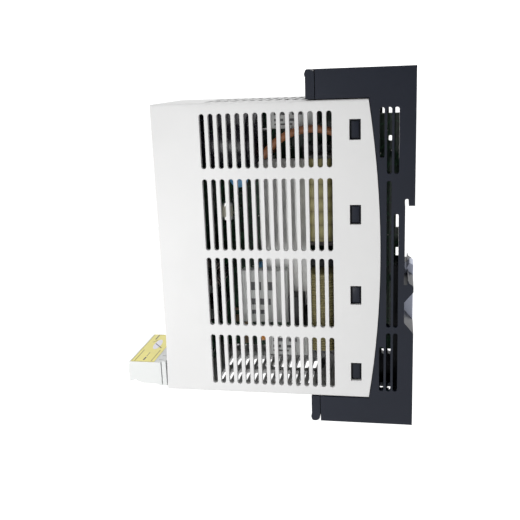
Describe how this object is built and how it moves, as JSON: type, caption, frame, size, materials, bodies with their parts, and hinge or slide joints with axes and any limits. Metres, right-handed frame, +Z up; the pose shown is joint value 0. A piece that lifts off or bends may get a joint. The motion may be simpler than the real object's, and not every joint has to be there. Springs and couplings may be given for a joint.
{
  "type": "din rail power supply",
  "caption": "Slim vented power supply with a light front cover, dark rear housing, hinged terminal covers, a pull-off front plug and a sprung clip for a 35 mm top-hat rail.",
  "frame": {"origin": "middle of the flat rail seat: mid-width, on the rail centre line", "axes": "+Y out of the rail seat towards the rail, +Z up along the height, +X across the width"},
  "size_m": [0.048, 0.1259, 0.1548],
  "materials": {
    "navy_plastic": "fine moulded texture",
    "shell_plastic": "fine moulded texture",
    "clip_plastic": "smooth moulded",
    "lens_plastic": "polished",
    "paper_label": "satin film",
    "yellow_label": "satin film",
    "plug_plastic": "smooth moulded",
    "terminal_plastic": "smooth moulded",
    "zinc_steel": "zinc plated",
    "clamp_steel": "nickel plated",
    "spring_steel": "drawn wire",
    "tinned_copper": "tin plated",
    "board_laminate": "solder mask",
    "ferrite": "sintered",
    "bobbin_plastic": "smooth moulded",
    "winding_tape": "polyester tape",
    "lead_sleeve": "extruded",
    "toroid_powder": "painted powder core",
    "enamelled_copper": "enamelled",
    "sink_aluminium": "extruded",
    "epoxy_black": "moulded epoxy",
    "capacitor_sleeve": "shrink sleeve",
    "can_aluminium": "drawn can",
    "film_box": "moulded box",
    "disc_blue": "dipped epoxy",
    "disc_orange": "dipped epoxy",
    "fuse_ceramic": "ceramic tube",
    "pot_plastic": "smooth moulded",
    "knob_plastic": "smooth moulded",
    "led_epoxy": "clear epoxy"
  },
  "bodies": {
    "housing": {"rear_housing": "navy_plastic", "front_cover": "shell_plastic", "status_lens": "lens_plastic", "rating_label": "paper_label", "adjust_pot": "pot_plastic", "clip_spring": "spring_steel", "output_block": "terminal_plastic", "output_bars": "tinned_copper", "input_block": "terminal_plastic", "input_bars": "tinned_copper", "plug_header": "plug_plastic", "header_pins": "tinned_copper", "main_board": "board_laminate", "front_board": "board_laminate", "board_screws": "zinc_steel", "status_leds": "led_epoxy", "transformer_core": "ferrite", "transformer_bobbin": "bobbin_plastic", "transformer_winding": "winding_tape", "transformer_lead": "lead_sleeve", "boost_choke_core": "ferrite", "boost_choke_winding": "winding_tape", "toroid_core": "toroid_powder", "toroid_winding": "enamelled_copper", "heat_sink": "sink_aluminium", "power_transistors": "epoxy_black", "bridge_rectifier": "epoxy_black", "bulk_capacitor": "capacitor_sleeve", "output_capacitors": "can_aluminium", "filter_capacitors": "film_box", "suppressor_capacitors": "disc_blue", "varistor": "disc_orange", "fuse": "fuse_ceramic"},
    "clip": {"rail_clip": "clip_plastic"},
    "top_flap": {"top_terminal_cover": "navy_plastic"},
    "bottom_flap": {"bottom_terminal_cover": "navy_plastic"},
    "knob": {"adjust_knob": "knob_plastic"},
    "output_screw_1": {"output_screw_1": "zinc_steel"},
    "output_clamp_1": {"output_clamp_1": "clamp_steel"},
    "output_screw_2": {"output_screw_2": "zinc_steel"},
    "output_clamp_2": {"output_clamp_2": "clamp_steel"},
    "output_screw_3": {"output_screw_3": "zinc_steel"},
    "output_clamp_3": {"output_clamp_3": "clamp_steel"},
    "output_screw_4": {"output_screw_4": "zinc_steel"},
    "output_clamp_4": {"output_clamp_4": "clamp_steel"},
    "input_screw_1": {"input_screw_1": "zinc_steel"},
    "input_clamp_1": {"input_clamp_1": "clamp_steel"},
    "input_screw_2": {"input_screw_2": "zinc_steel"},
    "input_clamp_2": {"input_clamp_2": "clamp_steel"},
    "input_screw_3": {"input_screw_3": "zinc_steel"},
    "input_clamp_3": {"input_clamp_3": "clamp_steel"},
    "plug": {"plug_housing": "plug_plastic", "plug_label": "yellow_label", "plug_sockets": "tinned_copper"},
    "plug_screw_1": {"plug_screw_1": "zinc_steel"},
    "plug_clamp_1": {"plug_clamp_1": "clamp_steel"},
    "plug_screw_2": {"plug_screw_2": "zinc_steel"},
    "plug_clamp_2": {"plug_clamp_2": "clamp_steel"},
    "plug_screw_3": {"plug_screw_3": "zinc_steel"},
    "plug_clamp_3": {"plug_clamp_3": "clamp_steel"}
  },
  "joints": [
    {"name": "clip_slide", "type": "slide", "parent": "housing", "child": "clip", "axis": [0, 0, -1], "range_m": [0, 0.006], "stiffness_N_per_m": 1500, "springref_m": -0.004, "deforming": ["clip_spring"]},
    {"name": "top_cover_hinge", "type": "hinge", "parent": "housing", "child": "top_flap", "pos_m": [0, -0.03745, 0.06695], "axis": [-1, 0, 0], "range_deg": [0, 100]},
    {"name": "bottom_cover_hinge", "type": "hinge", "parent": "housing", "child": "bottom_flap", "pos_m": [0, -0.03745, -0.07835], "axis": [1, 0, 0], "range_deg": [0, 100]},
    {"name": "adjust_turn", "type": "hinge", "parent": "housing", "child": "knob", "pos_m": [0.008, -0.1, 0.024], "axis": [0, 1, 0], "range_deg": [-135, 135]},
    {"name": "output_screw_1_turn", "type": "hinge", "parent": "housing", "child": "output_screw_1", "pos_m": [-0.0144, -0.034, 0.06295], "axis": [0, 1, 0], "range_deg": [0, 2305]},
    {"name": "output_clamp_1_rise", "type": "slide", "parent": "housing", "child": "output_clamp_1", "axis": [0, -1, 0], "range_m": [0, 0.0032]},
    {"name": "output_screw_2_turn", "type": "hinge", "parent": "housing", "child": "output_screw_2", "pos_m": [-0.0048, -0.034, 0.06295], "axis": [0, 1, 0], "range_deg": [0, 2305]},
    {"name": "output_clamp_2_rise", "type": "slide", "parent": "housing", "child": "output_clamp_2", "axis": [0, -1, 0], "range_m": [0, 0.0032]},
    {"name": "output_screw_3_turn", "type": "hinge", "parent": "housing", "child": "output_screw_3", "pos_m": [0.0048, -0.034, 0.06295], "axis": [0, 1, 0], "range_deg": [0, 2305]},
    {"name": "output_clamp_3_rise", "type": "slide", "parent": "housing", "child": "output_clamp_3", "axis": [0, -1, 0], "range_m": [0, 0.0032]},
    {"name": "output_screw_4_turn", "type": "hinge", "parent": "housing", "child": "output_screw_4", "pos_m": [0.0144, -0.034, 0.06295], "axis": [0, 1, 0], "range_deg": [0, 2305]},
    {"name": "output_clamp_4_rise", "type": "slide", "parent": "housing", "child": "output_clamp_4", "axis": [0, -1, 0], "range_m": [0, 0.0032]},
    {"name": "input_screw_1_turn", "type": "hinge", "parent": "housing", "child": "input_screw_1", "pos_m": [-0.0124, -0.034, -0.07435], "axis": [0, 1, 0], "range_deg": [0, 2305]},
    {"name": "input_clamp_1_rise", "type": "slide", "parent": "housing", "child": "input_clamp_1", "axis": [0, -1, 0], "range_m": [0, 0.0032]},
    {"name": "input_screw_2_turn", "type": "hinge", "parent": "housing", "child": "input_screw_2", "pos_m": [0, -0.034, -0.07435], "axis": [0, 1, 0], "range_deg": [0, 2305]},
    {"name": "input_clamp_2_rise", "type": "slide", "parent": "housing", "child": "input_clamp_2", "axis": [0, -1, 0], "range_m": [0, 0.0032]},
    {"name": "input_screw_3_turn", "type": "hinge", "parent": "housing", "child": "input_screw_3", "pos_m": [0.0124, -0.034, -0.07435], "axis": [0, 1, 0], "range_deg": [0, 2305]},
    {"name": "input_clamp_3_rise", "type": "slide", "parent": "housing", "child": "input_clamp_3", "axis": [0, -1, 0], "range_m": [0, 0.0032]},
    {"name": "plug_pull", "type": "slide", "parent": "housing", "child": "plug", "axis": [0, -1, 0], "range_m": [0, 0.012]},
    {"name": "plug_screw_1_turn", "type": "hinge", "parent": "plug", "child": "plug_screw_1", "pos_m": [-0.00416, -0.1136, -0.065], "axis": [0, 0, 1], "range_deg": [0, 1602]},
    {"name": "plug_clamp_1_rise", "type": "slide", "parent": "plug", "child": "plug_clamp_1", "axis": [0, 0, -1], "range_m": [0, 0.002]},
    {"name": "plug_screw_2_turn", "type": "hinge", "parent": "plug", "child": "plug_screw_2", "pos_m": [0.006, -0.1136, -0.065], "axis": [0, 0, 1], "range_deg": [0, 1602]},
    {"name": "plug_clamp_2_rise", "type": "slide", "parent": "plug", "child": "plug_clamp_2", "axis": [0, 0, -1], "range_m": [0, 0.002]},
    {"name": "plug_screw_3_turn", "type": "hinge", "parent": "plug", "child": "plug_screw_3", "pos_m": [0.01616, -0.1136, -0.065], "axis": [0, 0, 1], "range_deg": [0, 1602]},
    {"name": "plug_clamp_3_rise", "type": "slide", "parent": "plug", "child": "plug_clamp_3", "axis": [0, 0, -1], "range_m": [0, 0.002]}
  ],
  "couplings": [
    {"joint": "output_screw_1_turn", "follows": "output_clamp_1_rise", "rad_per_m": 12566},
    {"joint": "output_screw_2_turn", "follows": "output_clamp_2_rise", "rad_per_m": 12566},
    {"joint": "output_screw_3_turn", "follows": "output_clamp_3_rise", "rad_per_m": 12566},
    {"joint": "output_screw_4_turn", "follows": "output_clamp_4_rise", "rad_per_m": 12566},
    {"joint": "input_screw_1_turn", "follows": "input_clamp_1_rise", "rad_per_m": 12566},
    {"joint": "input_screw_2_turn", "follows": "input_clamp_2_rise", "rad_per_m": 12566},
    {"joint": "input_screw_3_turn", "follows": "input_clamp_3_rise", "rad_per_m": 12566},
    {"joint": "plug_screw_1_turn", "follows": "plug_clamp_1_rise", "rad_per_m": 13963},
    {"joint": "plug_screw_2_turn", "follows": "plug_clamp_2_rise", "rad_per_m": 13963},
    {"joint": "plug_screw_3_turn", "follows": "plug_clamp_3_rise", "rad_per_m": 13963}
  ]
}
